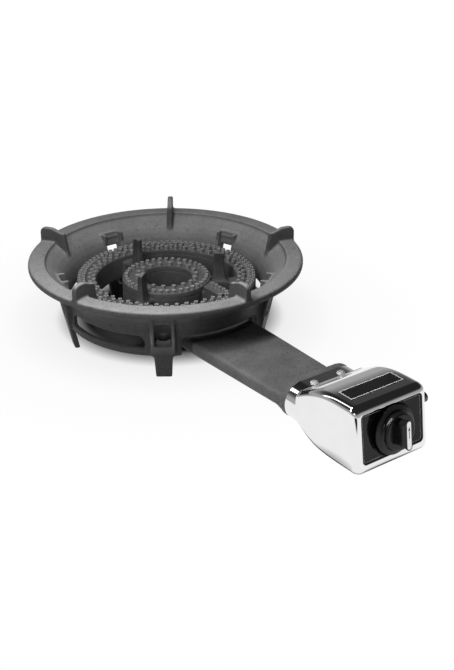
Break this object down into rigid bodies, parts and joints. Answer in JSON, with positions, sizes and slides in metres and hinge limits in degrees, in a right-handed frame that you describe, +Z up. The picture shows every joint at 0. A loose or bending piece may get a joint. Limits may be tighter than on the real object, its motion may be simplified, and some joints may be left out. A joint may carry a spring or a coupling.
{
  "type": "tabletop wok burner",
  "caption": "Cast-iron tabletop wok burner with finned ring stand, double-ring burner of raised jets, cast arm and chrome control box with one turning knob.",
  "frame": {"origin": "where the burner's vertical axis meets the plane of the leg ends", "axes": "+Z up; the arm and the control box run towards -Y, and the knob faces -Y; +X to the right of the knob seen from behind it"},
  "size_m": [0.31, 0.5516, 0.1135],
  "materials": {
    "sand_cast_iron": "matt sand-cast, heat-resistant black",
    "burner_iron": "matt sand-cast, bare",
    "mirror_chrome": "bright plated pressed steel",
    "gloss_black": "glossy printed plate",
    "knob_plastic": "satin black phenolic",
    "zinc_steel": "zinc plated",
    "bright_brass": "machined",
    "die_cast": "die cast",
    "black_rubber": "moulded",
    "white_ceramic": "glazed",
    "ivory_plastic": "moulded",
    "painted_base": "black painted sheet"
  },
  "bodies": {
    "root": {"wok_stand": "sand_cast_iron", "burner_manifold": "burner_iron", "outer_burner_ring": "burner_iron", "inner_burner_ring": "burner_iron", "burner_bolts": "zinc_steel", "spark_electrode": "white_ceramic", "control_housing": "mirror_chrome", "neck_screws": "mirror_chrome", "base_plate": "painted_base", "base_screws": "zinc_steel", "rubber_feet": "black_rubber", "fascia_plate": "gloss_black", "top_plate": "gloss_black", "valve_bracket": "zinc_steel", "bracket_screws": "zinc_steel", "valve_body": "bright_brass", "valve_bonnet": "die_cast", "bonnet_screws": "zinc_steel", "valve_screws": "zinc_steel", "jet_holder": "bright_brass", "outer_jet": "bright_brass", "inner_jet": "bright_brass", "inlet_nozzle": "zinc_steel", "piezo_igniter": "ivory_plastic", "igniter_screws": "zinc_steel", "shutter_screw": "zinc_steel"},
    "plug": {"valve_plug": "bright_brass", "return_spring": "zinc_steel"},
    "knob": {"valve_spindle": "zinc_steel", "igniter_cam": "ivory_plastic", "control_knob": "knob_plastic", "knob_insert": "mirror_chrome"},
    "shutter": {"air_shutter": "zinc_steel"}
  },
  "joints": [
    {"name": "knob_turn", "type": "hinge", "parent": "root", "child": "plug", "pos_m": [0, -0.3722, 0.048], "axis": [0, -0.9903, 0.1392], "range_deg": [0, 180]},
    {"name": "knob_press", "type": "slide", "parent": "plug", "child": "knob", "axis": [0, 0.9903, -0.1392], "range_m": [0, 0.0035], "stiffness_N_per_m": 1500, "springref_m": -0.002, "deforming": ["return_spring"]},
    {"name": "air_adjust", "type": "slide", "parent": "root", "child": "shutter", "axis": [1, 0, 0], "range_m": [0, 0.005]}
  ]
}
